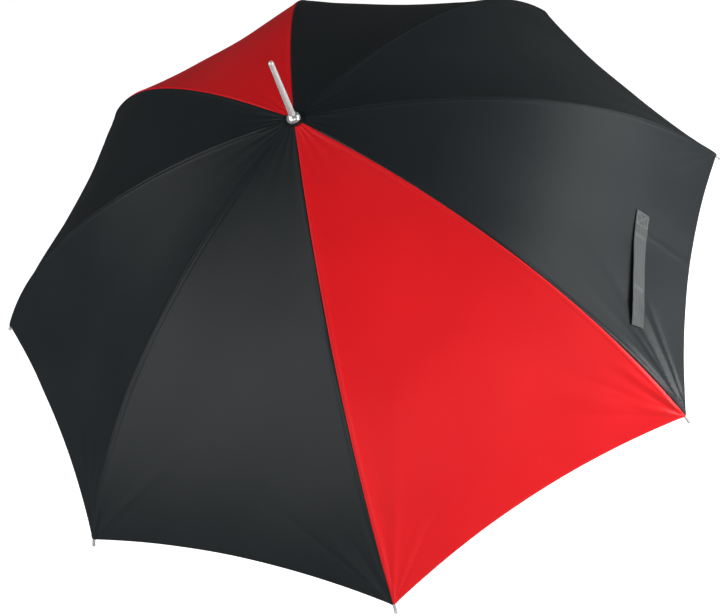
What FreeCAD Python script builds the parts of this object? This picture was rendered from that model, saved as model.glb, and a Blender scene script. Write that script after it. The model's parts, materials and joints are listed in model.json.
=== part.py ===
"""Golf umbrella, open: a parametric model in millimetres.

+Z runs up the shaft, and the origin is the middle of the hand grip. The eight ribs stand at 22.5
degrees and every 45 degrees from there, counted from +X, and rib_4 and rib_5 are the two beside
the panel that carries the tie strap.
"""
import FreeCAD, Part
import math
import os

import Sketcher
from FreeCAD import Placement, Rotation, Vector

DRIVING_SIZES = [
    # Shaft, from the grip to the crown
    ("crown_height", 850.0),
    ("tube_radius", 7.0),
    ("tube_wall", 1.0),
    ("tube_foot", -75.0),
    ("tube_top", 4.0),
    ("close_fit", 0.05),
    # Ribs: three tangent arcs, each with its length and the angle it turns down
    ("rib_count", 8.0),
    ("first_rib_angle", 157.5),
    ("rib_start_slope", 5.4),
    ("inner_run", 90.0),
    ("inner_bend", 2.8),
    ("middle_run", 255.0),
    ("middle_bend", 15.1),
    ("rod_run", 405.0),
    ("rod_bend", 30.6),
    ("rib_half_width", 1.8),
    ("rib_half_depth", 2.0),
    ("rib_sheet", 1.0),
    ("tongue_half_width", 0.7),
    ("eye_radius", 2.4),
    ("rod_radius", 1.65),
    ("splice_half_width", 2.6),
    ("splice_half_depth", 1.9),
    ("splice_gap", 0.3),
    ("tip_ball", 3.0),
    # Crown
    ("hinge_ring", 13.5),
    ("wire_radius", 0.7),
    ("notch_radius", 16.5),
    ("notch_slot", 2.0),
    # Stretchers
    ("joint_station", 330.0),
    ("joint_drop", 5.5),
    ("joint_pin_radius", 0.75),
    ("stretcher_half_width", 1.5),
    ("stretcher_half_depth", 1.6),
    ("stretcher_ring", 13.6),
    # Runner
    ("runner_drop", 190.0),
    ("runner_bore", 7.2),
    ("sleeve_radius", 10.2),
    ("sleeve_length", 85.0),
    ("keyway_radius", 9.0),
    ("keyway_width", 3.6),
    ("runner_slot", 3.8),
    # Spring catches
    ("catch_length", 30.0),
    ("catch_width", 2.2),
    ("catch_reach", 8.7),
    ("runner_travel", 473.1),
    # Canopy
    ("cloth_lift", 3.0),
    ("cloth_thickness", 0.6),
    ("cloth_seam_gap", 0.2),
    ("cloth_start", -4.7),
    ("cloth_end", 735.0),
    ("hem_dip", 22.0),
    ("cloth_sag", 0.025),
    ("hem_width", 12.0),
    ("hem_gap", 4.0),
    # Tie strap
    ("strap_length", 206.0),
    ("strap_width", 28.0),
    ("strap_thickness", 1.0),
    ("strap_offset", -65.0),
    ("strap_low_station", 616.3),
    ("strap_high_station", 604.8),
    # Ferrule and cap
    ("ferrule_length", 120.0),
    ("ferrule_radius", 5.4),
    ("ferrule_end_radius", 4.0),
    ("cap_radius", 11.0),
    ("cap_height", 14.0),
    ("rosette_radius", 16.4),
    # Hand grip
    ("grip_radius", 17.0),
    ("grip_length", 170.0),
    ("end_cap_height", 6.0),
]

UP = Vector(0, 0, 1)

doc = FreeCAD.newDocument("golf_umbrella")
sheet = doc.addObject("Spreadsheet::Sheet", "Sizes")
for row, (alias, value) in enumerate(DRIVING_SIZES, start=1):
    sheet.set(f"A{row}", alias)
    sheet.set(f"B{row}", str(value))
    sheet.setAlias(f"B{row}", alias)
doc.recompute()

pieces = []


class Size:
    """A length with its value and the expression that ties it to the sheet."""

    def __init__(self, value, text=None):
        self.value = float(value)
        self.text = text if text else repr(float(value))

    def __add__(self, other):
        other = as_size(other)
        return Size(self.value + other.value, f"({self.text} + {other.text})")

    def __sub__(self, other):
        other = as_size(other)
        return Size(self.value - other.value, f"({self.text} - {other.text})")

    def __mul__(self, factor):
        return Size(self.value * factor, f"({self.text} * {factor})")

    def __neg__(self):
        return self * -1


def as_size(number):
    return number if isinstance(number, Size) else Size(number)


def size(alias):
    return Size(sheet.get(alias), f"Sizes.{alias}")


def cell(alias):
    return float(sheet.get(alias))


def bind(thing, name, length):
    thing.setExpression(name, as_size(length).text)


# --- Sketches and features ---------------------------------------------------------------


def new_body(label, own_piece=True):
    """A PartDesign body. One that isn't a piece of its own goes into a compound."""
    body = doc.addObject("PartDesign::Body", label)
    body.Label = label
    if own_piece:
        pieces.append(body)
    return body


def origin_feature(body, role):
    return next(f for f in body.Origin.OriginFeatures if f.Role == role)


def new_sketch(body, name, plane, turned=0.0):
    """A sketch on one of the body's planes, turned by some degrees about the sketch's upright."""
    sketch = body.newObject("Sketcher::SketchObject", name)
    sketch.AttachmentSupport = (origin_feature(body, plane), [""])
    sketch.MapMode = "FlatFace"
    sketch.AttachmentOffset = Placement(Vector(), Rotation(Vector(0, 1, 0), turned))
    return sketch


def pin_point(sketch, curve, end, across, along):
    """Holds one end of a curve at two distances from the sketch's origin."""
    for kind, length in (("DistanceX", across), ("DistanceY", along)):
        length = as_size(length)
        index = sketch.addConstraint(Sketcher.Constraint(kind, -1, 1, curve, end, length.value))
        bind(sketch, f"Constraints[{index}]", length)


def closed_outline(body, name, plane, corners, turned=0.0):
    """A closed outline through corners (across, along). A corner with a third entry, a point
    (across, along), starts an arc through that point; the other corners start straight lines."""
    sketch = new_sketch(body, name, plane, turned)
    places = [Vector(as_size(c[0]).value, as_size(c[1]).value, 0) for c in corners]
    ends = []
    for i, corner in enumerate(corners):
        start, finish = places[i], places[(i + 1) % len(places)]
        if len(corner) == 3:
            middle = Vector(as_size(corner[2][0]).value, as_size(corner[2][1]).value, 0)
            curve = sketch.addGeometry(Part.Arc(start, middle, finish), False)
            radius = sketch.Geometry[curve].Radius
            sketch.addConstraint(Sketcher.Constraint("Radius", curve, radius))
        else:
            curve = sketch.addGeometry(Part.LineSegment(start, finish), False)
        forward = sketch.getPoint(curve, 1).distanceToPoint(start) < 1e-6
        ends.append((curve, 1, 2) if forward else (curve, 2, 1))
    for i, corner in enumerate(corners):
        curve, start, _ = ends[i]
        before, _, finish = ends[i - 1]
        sketch.addConstraint(Sketcher.Constraint("Coincident", before, finish, curve, start))
        pin_point(sketch, curve, start, corner[0], corner[1])
    return sketch


def circle_sketch(body, name, plane, across, along, radius):
    sketch = new_sketch(body, name, plane)
    centre = Vector(as_size(across).value, as_size(along).value, 0)
    curve = sketch.addGeometry(Part.Circle(centre, Vector(0, 0, 1), as_size(radius).value), False)
    pin_point(sketch, curve, 3, across, along)
    index = sketch.addConstraint(Sketcher.Constraint("Radius", curve, as_size(radius).value))
    bind(sketch, f"Constraints[{index}]", radius)
    return sketch


def box_corners(across_from, across_to, along_from, along_to):
    return [
        (across_from, along_from),
        (across_to, along_from),
        (across_to, along_to),
        (across_from, along_to),
    ]


def revolve(body, sketch, axis="V_Axis"):
    feature = body.newObject("PartDesign::Revolution", sketch.Name + "_turned")
    feature.Profile = sketch
    feature.ReferenceAxis = (sketch, [axis])
    feature.Angle = 360.0
    return feature


def pad(body, sketch, width):
    """Thickens a sketch by half the width on each side of its plane."""
    feature = body.newObject("PartDesign::Pad", sketch.Name + "_pad")
    feature.Profile = sketch
    feature.Midplane = True
    bind(feature, "Length", width)
    return feature


def pocket(body, sketch, width):
    """Cuts a sketch out by half the width on each side of its plane, and tests that it cuts."""
    doc.recompute()
    before = body.Shape.Volume
    feature = body.newObject("PartDesign::Pocket", sketch.Name + "_cut")
    feature.Profile = sketch
    feature.Midplane = True
    bind(feature, "Length", width)
    doc.recompute()
    if not body.Shape.Volume < before - 1e-3:
        raise RuntimeError(f"{feature.Name} cuts nothing")
    return feature


def around_shaft(body, feature, count):
    pattern = body.newObject("PartDesign::PolarPattern", feature.Name + "_ring")
    pattern.Originals = [feature]
    pattern.Axis = (origin_feature(body, "Z_Axis"), [""])
    pattern.Angle = 360.0
    pattern.Occurrences = int(count)
    body.Tip = pattern
    return pattern


def turned_piece(label, corners, height=0.0):
    body = new_body(label)
    revolve(body, closed_outline(body, label + "_outline", "XZ_Plane", corners))
    body.Placement = Placement(Vector(0, 0, height), Rotation())
    return body


# --- The line that a rib follows ---------------------------------------------------------


def rib_arcs():
    """Each arc's length, first slope and radius, from the crown outward."""
    slope = math.radians(cell("rib_start_slope"))
    arcs = []
    for run, bend in (
        ("inner_run", "inner_bend"),
        ("middle_run", "middle_bend"),
        ("rod_run", "rod_bend"),
    ):
        turn = math.radians(cell(bend))
        arcs.append((cell(run), slope, cell(run) / turn))
        slope += turn
    return arcs


def arc_start(number):
    """The arc's first point on the centreline, in the rib's own upright plane."""
    point = Vector(cell("hinge_ring"), 0, 0)
    for run, slope, radius in rib_arcs()[:number]:
        end = slope + run / radius
        step = Vector(math.sin(end) - math.sin(slope), 0, math.cos(end) - math.cos(slope))
        point = point + step * radius
    return point


def on_arc(number, distance, lift=0.0):
    """A point at a distance along one arc, raised by lift square to it, and the slope there."""
    _, slope, radius = rib_arcs()[number]
    angle = slope + distance / radius
    start = arc_start(number)
    centre = start - Vector(math.sin(slope), 0, math.cos(slope)) * radius
    return centre + Vector(math.sin(angle), 0, math.cos(angle)) * (radius + lift), angle


def on_rib(station, lift=0.0):
    """The point at a station, the distance along the whole rib. Before the hinge it runs on
    straight toward the shaft."""
    if station < 0:
        slope = rib_arcs()[0][1]
        point, _ = on_arc(0, 0.0, lift)
        return point + Vector(math.cos(slope), 0, -math.sin(slope)) * station, slope
    distance = station
    for number, (run, _, _) in enumerate(rib_arcs()):
        if distance <= run or number == 2:
            return on_arc(number, distance, lift)
        distance -= run


def rib_angle(number):
    """The direction of rib 1 to 8, in degrees from +X."""
    return cell("first_rib_angle") + (number - 1) * 360.0 / cell("rib_count")


def at_rib(number, local=None):
    """Moves a piece from the rib's own upright plane to its place under the crown."""
    place = Placement(Vector(0, 0, cell("crown_height")), Rotation(UP, rib_angle(number)))
    return place.multiply(local) if local else place


# --- Ribs --------------------------------------------------------------------------------


def arc_bar(number, start, finish, low, high, half_width):
    """A bar along one arc, from start to finish along it, between two lifts."""
    top = [on_arc(number, d, high)[0] for d in (start, (start + finish) / 2, finish)]
    base = [on_arc(number, d, low)[0] for d in (finish, (start + finish) / 2, start)]
    edges = [
        Part.Arc(*top).toShape(),
        Part.LineSegment(top[2], base[0]).toShape(),
        Part.Arc(*base).toShape(),
        Part.LineSegment(base[2], top[0]).toShape(),
    ]
    face = Part.Face(Part.Wire(edges))
    face.translate(Vector(0, -half_width, 0))
    return face.extrude(Vector(0, 2 * half_width, 0))


def eye(centre, radius, half_width):
    return Part.makeCylinder(radius, 2 * half_width, centre - Vector(0, half_width, 0), Vector(0, 1, 0))


def rib_joint():
    """The middle of the joint pin, under the rib."""
    return on_rib(cell("joint_station"), -cell("joint_drop"))[0]


def rib_shape():
    """A folded steel channel, open below, with a flat eye at the crown, a lug for the stretcher
    and two cheeks that hold the rod."""
    wide, deep, sheet_metal = cell("rib_half_width"), cell("rib_half_depth"), cell("rib_sheet")
    inner_run, middle_run = cell("inner_run"), cell("middle_run")
    tongue, splice = cell("tongue_half_width"), cell("splice_half_width")
    cheek = cell("splice_half_depth")
    joint = cell("joint_station") - inner_run
    channel_start, tongue_end, block_start, block_end = 9.0, 14.0, 238.0, middle_run - 8.0
    hinge = Vector(cell("hinge_ring"), 0, 0)
    solid = arc_bar(0, channel_start, inner_run, -deep, deep, wide)
    groove = wide - sheet_metal * 0.8
    added = [
        arc_bar(1, 0.0, block_start + 1, -deep, deep, wide),
        arc_bar(1, block_start, middle_run + 7.0, -cheek, cheek, splice),
        arc_bar(0, 0.0, tongue_end, -0.9 * deep, 0.9 * deep, tongue),
        eye(hinge, cell("eye_radius"), tongue),
        arc_bar(1, joint - 2.2, joint + 2.2, -cell("joint_drop"), -deep / 2, tongue),
        eye(rib_joint(), cell("eye_radius"), tongue),
    ]
    cut = [
        arc_bar(0, tongue_end, inner_run, -deep - 1, deep - sheet_metal, groove),
        arc_bar(1, 0.0, joint - 6, -deep - 1, deep - sheet_metal, groove),
        arc_bar(1, block_end, middle_run + 8.0, -cheek - 1, cheek + 1,
                cell("rod_radius") + cell("splice_gap")),
        eye(hinge, cell("wire_radius") + 0.2, tongue + 1),
        eye(rib_joint(), cell("joint_pin_radius") + 0.1, tongue + 1),
    ]
    return cut_all(solid.multiFuse(added), cut)


def cut_all(solid, tools):
    for tool in tools:
        solid = solid.cut(tool)
    return solid.removeSplitter()


def shaped_piece(label, shape, placement):
    """A piece whose curved shape comes from the functions above."""
    piece = doc.addObject("Part::Feature", label)
    piece.Label = label
    piece.Shape = shape
    piece.Placement = placement
    pieces.append(piece)
    return piece


def make_rod(number):
    """A glass-fibre rod along the third arc. It starts inside the rib's cheeks."""
    tucked_in = 6.0
    _, slope, radius = rib_arcs()[2]
    start = slope - tucked_in / radius
    centre = on_arc(2, 0.0)[0] - Vector(math.sin(slope), 0, math.cos(slope)) * radius
    rod = doc.addObject("Part::Torus", f"rod_{number}")
    rod.Label = f"rod_{number}"
    rod.setExpression("Radius1", "Sizes.rod_run / (Sizes.rod_bend * pi / 180)")
    rod.setExpression("Radius2", "Sizes.rod_radius")
    rod.setExpression("Angle3", "Sizes.rod_bend")
    outward = Vector(math.sin(start), 0, math.cos(start))
    along = Vector(math.cos(start), 0, -math.sin(start))
    rod.Placement = at_rib(number, Placement(centre, Rotation(outward, along, Vector(0, 1, 0), "XYZ")))
    pieces.append(rod)
    return rod


def along_slope(point, slope):
    """A placement whose X runs along the rib, whose Y is level and whose Z is its upper side."""
    forward = Vector(math.cos(slope), 0, -math.sin(slope))
    above = Vector(math.sin(slope), 0, math.cos(slope))
    return Placement(point, Rotation(forward, Vector(0, 1, 0), above, "XYZ"))


def make_tip(number):
    """A metal cap on the rod's end, with a small ball. The cloth's corner is sewn to the cap."""
    body = new_body(f"tip_{number}")
    bore, ball, sleeve = size("rod_radius") + 0.12, size("tip_ball"), 11.0
    outer = bore + 0.6
    corners = [
        (-sleeve, bore),
        (-sleeve, outer),
        (0.0, outer),
        (ball * 0.2, ball * 0.6, (ball, ball)),
        (ball * 1.96, ball * 0.28),
        (ball * 1.96, 0.0),
        (0.0, 0.0),
        (0.0, bore),
    ]
    outline = closed_outline(body, f"tip_{number}_outline", "XZ_Plane", corners)
    revolve(body, outline, "H_Axis")
    point, slope = on_rib(cell("inner_run") + cell("middle_run") + cell("rod_run") - 6.0)
    body.Placement = at_rib(number, along_slope(point, slope))
    return body


# --- Stretchers and their pins -----------------------------------------------------------


def runner_joint():
    """Where a stretcher meets the runner's notch, in the rib's upright plane."""
    return Vector(cell("stretcher_ring"), 0, -cell("runner_drop"))


def stretcher_place():
    """Origin on the joint pin, X toward the runner, Y level."""
    along = (runner_joint() - rib_joint()).normalize()
    level = Vector(0, 1, 0)
    return Placement(rib_joint(), Rotation(along, level, along.cross(level), "XYZ"))


def make_stretcher(number):
    """A stretcher together with the pin that is riveted into its fork."""
    stretcher = doc.addObject("Part::Compound", f"stretcher_{number}")
    stretcher.Label = f"stretcher_{number}"
    stretcher.Links = [make_stretcher_channel(number), make_joint_pin(number)]
    pieces.append(stretcher)
    return stretcher


def make_stretcher_channel(number):
    """A folded channel with a fork that straddles the rib's lug, and a flat eye at the runner."""
    body = new_body(f"stretcher_channel_{number}", own_piece=False)
    name = body.Name
    reach = (runner_joint() - rib_joint()).Length
    half, deep, pin = size("stretcher_half_width"), size("stretcher_half_depth"), size("joint_pin_radius")
    fork_end, fork_slot_end, groove_start, groove_end = 11.0, 7.0, 15.0, reach - 10.0
    fork_eye, runner_eye, fork_half = 2.6, 2.6, 2.0
    pad(body, closed_outline(body, name + "_bar", "XZ_Plane", box_corners(4.0, reach, -deep, deep)), half * 2)
    pad(body, closed_outline(body, name + "_fork", "XZ_Plane", box_corners(0.0, fork_end, -deep, deep)),
        2 * fork_half)
    pad(body, circle_sketch(body, name + "_fork_eye", "XZ_Plane", 0.0, 0.0, fork_eye), 2 * fork_half)
    pad(body, circle_sketch(body, name + "_runner_eye", "XZ_Plane", reach, 0.0, runner_eye), half * 2)
    slot = closed_outline(body, name + "_slot", "XZ_Plane", box_corners(-4.0, fork_slot_end, -4.0, 4.0))
    pocket(body, slot, size("tongue_half_width") * 2 + 0.6)
    groove = closed_outline(body, name + "_groove", "XZ_Plane",
                            box_corners(groove_start, groove_end, -deep - 1, deep - 0.8))
    pocket(body, groove, half * 2 - 1.4)
    pocket(body, circle_sketch(body, name + "_pin_hole", "XZ_Plane", 0.0, 0.0, pin), 2 * fork_half + 1)
    pocket(body, circle_sketch(body, name + "_ring_hole", "XZ_Plane", reach, 0.0, 0.9), half * 2 + 1)
    body.Placement = at_rib(number, stretcher_place())
    return body


def make_joint_pin(number):
    """A headed pin through the stretcher's fork and the rib's lug."""
    body = new_body(f"joint_pin_{number}", own_piece=False)
    pin, half, head, head_height = size("joint_pin_radius"), 2.0, 1.4, 0.6
    corners = [
        (0.0, -half - head_height),
        (head, -half - head_height),
        (head, -half),
        (pin, -half),
        (pin, half),
        (head, half),
        (head, half + head_height),
        (0.0, half + head_height),
    ]
    revolve(body, closed_outline(body, body.Name + "_outline", "XZ_Plane", corners))
    sideways = Placement(Vector(), Rotation(Vector(1, 0, 0), 90))
    body.Placement = at_rib(number, stretcher_place().multiply(sideways))
    return body


# --- Shaft, crown and runner -------------------------------------------------------------


def half_pitch():
    """The angle from +X to the first rib slot."""
    return 180.0 / cell("rib_count")


def make_shaft():
    outer, wall = size("tube_radius"), size("tube_wall")
    top = size("crown_height") + size("tube_top")
    shaft = turned_piece("shaft", box_corners(outer - wall, outer, size("tube_foot"), top))
    for name, low, high in catch_windows():
        slot = closed_outline(shaft, name, "YZ_Plane", box_corners(-outer - 1, -outer + 3, low, high))
        pocket(shaft, slot, size("catch_width") + 0.8)
    return shaft


def top_catch_height():
    """The top catch's flat face, just under the runner when the umbrella is open."""
    below = size("sleeve_length") + 5.6
    return size("crown_height") - size("runner_drop") - below


def bottom_catch_height():
    """The bottom catch's flat face, in the sleeve's window when the umbrella is closed."""
    return size("crown_height") - size("runner_drop") - size("runner_travel") - 75.0


def catch_windows():
    """The two slots in the shaft tube, each a little longer than its catch."""
    room, length = 1.5, size("catch_length")
    top, bottom = top_catch_height(), bottom_catch_height()
    return [
        ("top_window", top - length - room * 2, top + room),
        ("bottom_window", bottom - room, bottom + length + room * 2),
    ]


def make_catch(label, height, upside_down):
    """A spring steel tooth in the shaft: flat on the side that stops the runner, sloped on the
    other, and turning about its far end."""
    body = new_body(label)
    reach, length = size("catch_reach"), size("catch_length")
    inner, heel, shin = 4.2, 6.6, 7.0
    corners = [
        (-inner, 0.0),
        (-reach, 0.0),
        (-reach, -4.0),
        (-shin, -14.0),
        (-heel, -length),
        (-inner - 0.8, -length),
        (-inner, -length + 2.0),
    ]
    pad(body, closed_outline(body, label + "_outline", "YZ_Plane", corners), size("catch_width"))
    turn = Rotation(Vector(0, 1, 0), 180) if upside_down else Rotation()
    body.Placement = Placement(Vector(0, 0, height.value), turn)
    return body


def make_crown_notch():
    """A slotted disc fixed on the shaft, with a groove for the tie wire that the ribs hang on."""
    ring, wire, rim = size("hinge_ring"), size("wire_radius"), size("notch_radius")
    bore = size("tube_radius") + size("close_fit")
    low, high, groove = -4.5, 1.8, 0.9
    corners = [
        (bore, low),
        (rim, low),
        (rim, -groove),
        (ring - wire, -groove),
        (ring - wire, groove),
        (rim, groove),
        (rim, high),
        (bore, high),
    ]
    notch = turned_piece("crown_notch", corners)
    slot = closed_outline(notch, "rib_slot", "XZ_Plane",
                          box_corners(ring - size("eye_radius") - 0.6, rim + 2, low - 1, high + 1),
                          half_pitch())
    around_shaft(notch, pocket(notch, slot, size("notch_slot")), cell("rib_count"))
    notch.Placement = Placement(Vector(0, 0, cell("crown_height")), Rotation())
    return notch


def make_crown_wire():
    wire = doc.addObject("Part::Torus", "crown_wire")
    wire.Label = "crown_wire"
    wire.setExpression("Radius1", "Sizes.hinge_ring")
    wire.setExpression("Radius2", "Sizes.wire_radius")
    wire.Placement = Placement(Vector(0, 0, cell("crown_height")), Rotation())
    pieces.append(wire)
    return wire


def make_runner():
    """A sleeve with a slotted notch at its top, a keyway that clears the catches, and a window
    where the bottom catch shows."""
    bore, sleeve, rim = size("runner_bore"), size("sleeve_radius"), size("notch_radius")
    bottom, bead_height, notch_half, bead = -size("sleeve_length"), 5.0, 5.0, sleeve + 1.3
    corners = [
        (bore, bottom - bead_height),
        (bead - 0.8, bottom - bead_height),
        (bead, bottom - bead_height + 0.8),
        (bead, bottom),
        (sleeve, bottom + 1.3),
        (sleeve, -notch_half - 2.0),
        (rim - 1.0, -notch_half),
        (rim, -notch_half + 1.0),
        (rim, notch_half - 1.0),
        (rim - 1.0, notch_half),
        (bore, notch_half),
    ]
    runner = turned_piece("runner", corners)
    slot = closed_outline(runner, "stretcher_slot", "XZ_Plane",
                          box_corners(sleeve + 0.2, rim + 2, -notch_half - 4.0, notch_half + 1),
                          half_pitch())
    around_shaft(runner, pocket(runner, slot, size("runner_slot")), cell("rib_count"))
    key, low, high = size("keyway_radius"), bottom - bead_height - 1.0, notch_half + 1.0
    sketch = closed_outline(runner, "keyway", "YZ_Plane", box_corners(-key, -bore + 1.5, low, high))
    pocket(runner, sketch, size("keyway_width"))
    window = closed_outline(runner, "window", "YZ_Plane",
                            box_corners(-sleeve - 2, -bore, bottom + 9.0, bottom + 27.0))
    pocket(runner, window, size("catch_width") + 0.8)
    height = cell("crown_height") - cell("runner_drop")
    runner.Placement = Placement(Vector(0, 0, height), Rotation())
    return runner


# --- Ferrule, cap and rosette ------------------------------------------------------------


def make_ferrule():
    """The spike on the crown: a plug in the tube, a slim taper and a rounded end."""
    base, end, length = size("ferrule_radius"), size("ferrule_end_radius"), size("ferrule_length")
    plug = size("tube_radius") - size("tube_wall") - size("close_fit")
    top, ring_from, ring_to, dome = size("tube_top"), length - 16.0, length - 14.5, 3.0
    corners = [
        (0.0, -22.0),
        (plug, -22.0),
        (plug, top),
        (base, top),
        (end, ring_from),
        (end - 0.5, ring_from + 0.3),
        (end - 0.5, ring_to - 0.3),
        (end, ring_to),
        (end, length - dome, (end * 0.8, length - dome * 0.3)),
        (1.4, length),
        (0.0, length),
    ]
    return turned_piece("ferrule", corners, cell("crown_height"))


def make_crown_cap():
    """A thin pressed bell that sits on the rosette and closes round the ferrule."""
    rim, top, hole = size("cap_radius"), size("cap_height"), size("ferrule_radius") + size("close_fit")
    bottom, skin = 5.05, 0.8
    corners = [
        (rim, bottom, (rim * 0.86, top * 0.74)),
        (hole, top),
        (hole, top - skin, (rim * 0.79, top * 0.68)),
        (rim - skin, bottom),
    ]
    return turned_piece("crown_cap", corners, cell("crown_height"))


def make_rosette():
    """A cloth washer between the cap and the canopy, sloped as the canopy is."""
    inner, outer, thick = size("tube_radius") + 0.4, size("rosette_radius"), 0.7
    inner_height, outer_height = 4.55, 3.62
    corners = [
        (inner, inner_height),
        (outer, outer_height),
        (outer, outer_height + thick),
        (inner, inner_height + thick),
    ]
    return turned_piece("rosette", corners, cell("crown_height"))


# --- Hand grip ---------------------------------------------------------------------------


def make_grip():
    """A straight soft grip that narrows to a neck at its top."""
    radius, half = size("grip_radius"), size("grip_length") * 0.5
    bore, straight = size("tube_radius") + size("close_fit"), 60.0
    corners = [
        (bore, -half),
        (radius, -half),
        (radius, straight),
        (radius - 2.5, half - 6.0, (radius - 3.4, half - 1.8)),
        (radius - 5.5, half),
        (bore, half),
    ]
    return turned_piece("grip", corners)


def make_end_cap():
    """A hard cap plugged into the foot of the grip, flat underneath."""
    half, height = size("grip_length") * 0.5, size("end_cap_height")
    rim, plug, corner = size("grip_radius"), size("tube_radius"), 2.5
    corners = [
        (0.0, -half - height),
        (rim - corner, -half - height, (rim - 0.73, -half - height + 0.73)),
        (rim, -half - height + corner),
        (rim, -half),
        (plug, -half),
        (plug, size("tube_foot") - 0.5),
        (0.0, size("tube_foot") - 0.5),
    ]
    return turned_piece("grip_end_cap", corners)


# --- Canopy ------------------------------------------------------------------------------


def cloth_point(station, side, lift, gap):
    """A point beside a rib at one side of a panel, a gap away from the rib's upright plane, and
    the slope there. X runs down the middle of the panel, and side is -1 or 1."""
    point, slope = on_rib(station, lift)
    half = side * math.pi / cell("rib_count")
    across = Vector(-math.sin(half), math.cos(half), 0)
    ahead = Vector(math.cos(half), math.sin(half), 0)
    return ahead * point.x + Vector(0, 0, point.z) - across * (side * gap), slope


def cloth_section(station, low, high, gap):
    """A closed outline across a panel between two lifts, with its middle sagging and drawn
    toward the crown, as the hem is."""
    drawn = station - cell("hem_dip") * (max(station, 0.0) / cell("cloth_end")) ** 2
    rows = []
    for lift in (low, high):
        left, _ = cloth_point(station, -1, lift, gap)
        right, _ = cloth_point(station, 1, lift, gap)
        left_in, slope = cloth_point(drawn, -1, lift, gap)
        right_in, _ = cloth_point(drawn, 1, lift, gap)
        width = (right_in - left_in).Length
        below = Vector(math.sin(slope), 0, math.cos(slope)) * (cell("cloth_sag") * width)
        rows.append((left, (left_in + right_in) / 2 - below, right))
    base, top = rows
    edges = [
        Part.Arc(*base).toShape(),
        Part.LineSegment(base[2], top[2]).toShape(),
        Part.Arc(*reversed(top)).toShape(),
        Part.LineSegment(top[0], base[0]).toShape(),
    ]
    return Part.Wire(edges)


def cloth_solid(stations, low, high, gap):
    """A thin closed solid through the sections at some stations."""
    sections = [cloth_section(s, low, high, gap) for s in stations]
    sides = Part.makeLoft(sections, False, False).Faces
    ends = [Part.makeRuledSurface(s.Edges[0], s.Edges[2]) for s in (sections[0], sections[-1])]
    shell = Part.makeShell(sides + ends)
    shell.sewShape()
    solid = Part.makeSolid(shell)
    if solid.Volume < 0:
        solid.reverse()
    return solid


def panel_shape():
    """One whole panel of the canopy, through evenly spaced sections."""
    first, last, count = cell("cloth_start"), cell("cloth_end"), 10
    stations = [first + (last - first) * i / count for i in range(count + 1)]
    low = cell("cloth_lift")
    return cloth_solid(stations, low, low + cell("cloth_thickness"), cell("cloth_seam_gap"))


def hem_shape():
    """The binding tape sewn along the underside of a panel's edge, clear of the rib tips."""
    last, width, middle = cell("cloth_end"), cell("hem_width"), cell("cloth_lift") - 2.45
    stations = [last - width, last - width / 2, last]
    return cloth_solid(stations, middle - 0.2, middle + 0.3, cell("hem_gap"))


def on_panel(station, across):
    """A point on the upper face of a panel, at a distance across it."""
    lift = cell("cloth_lift") + cell("cloth_thickness")
    edge, _ = cloth_point(station, 1, lift, 0.0)
    bow = 1 - (across / edge.y) ** 2
    drawn = station - cell("hem_dip") * (station / cell("cloth_end")) ** 2 * bow
    right, slope = cloth_point(drawn, 1, lift, 0.0)
    below = cell("cloth_sag") * 2 * right.y * bow
    return Vector(right.x - below * math.sin(slope), across, right.z - below * math.cos(slope))


def make_tie_strap():
    """A flat band across the panel between ribs 4 and 5, bowed a little as the cloth sags."""
    body = new_body("tie_strap")
    half, thick, bow = size("strap_length") * 0.5, size("strap_thickness"), 2.6
    corners = [
        (-half, 0.0, (0.0, -bow)),
        (half, 0.0),
        (half, thick, (0.0, thick - bow)),
        (-half, thick),
    ]
    pad(body, closed_outline(body, "strap_outline", "YZ_Plane", corners), size("strap_width"))
    reach, edge = cell("strap_length") / 2, cell("strap_width") / 2
    low_station, low_across = cell("strap_low_station"), cell("strap_offset") - reach
    high_station, high_across = cell("strap_high_station"), cell("strap_offset") + reach
    low, high = on_panel(low_station, low_across), on_panel(high_station, high_across)
    along = (high - low).normalize()
    outer = on_panel(low_station + edge, low_across) + on_panel(high_station + edge, high_across)
    inner = on_panel(low_station - edge, low_across) + on_panel(high_station - edge, high_across)
    above = (outer - inner).cross(along).normalize()
    outward = along.cross(above)
    clear = 1.4
    base = (low + high) / 2 + above * clear - outward * edge
    body.Placement = at_rib(4.5, Placement(base, Rotation(outward, along, above, "XYZ")))
    return body


# --- Assembly ----------------------------------------------------------------------------


def make_everything():
    make_shaft()
    make_ferrule()
    make_crown_cap()
    make_rosette()
    make_crown_notch()
    make_crown_wire()
    make_runner()
    make_catch("top_catch", top_catch_height(), False)
    make_catch("bottom_catch", bottom_catch_height(), True)
    make_grip()
    make_end_cap()
    rib, panel, hem = rib_shape(), panel_shape(), hem_shape()
    for number in range(1, int(cell("rib_count")) + 1):
        shaped_piece(f"rib_{number}", rib, at_rib(number))
        make_rod(number)
        make_tip(number)
        make_stretcher(number)
        shaped_piece(f"panel_{number}", panel, at_rib(number + 0.5))
        shaped_piece(f"hem_{number}", hem, at_rib(number + 0.5))
    make_tie_strap()


def check_everything():
    for thing in doc.Objects:
        if "Invalid" in thing.State or "Error" in thing.State:
            raise RuntimeError(f"{thing.Name} failed: {thing.State}")
    for piece in pieces:
        if piece.Shape.isNull() or not piece.Shape.isValid() or not piece.Shape.Solids:
            raise RuntimeError(f"{piece.Label} has no valid solid")
        print(piece.Label, len(piece.Shape.Solids), round(piece.Shape.Volume, 1))


make_everything()
doc.recompute()
check_everything()
os.makedirs("parts", exist_ok=True)
for piece in pieces:
    piece.Shape.exportStep(f"parts/{piece.Label}.step")
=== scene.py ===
"""Golf umbrella: the cloth, the finishes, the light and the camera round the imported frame."""
import json
import math

import bmesh
import bpy
import numpy as np
from mathutils import Matrix, Vector


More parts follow.
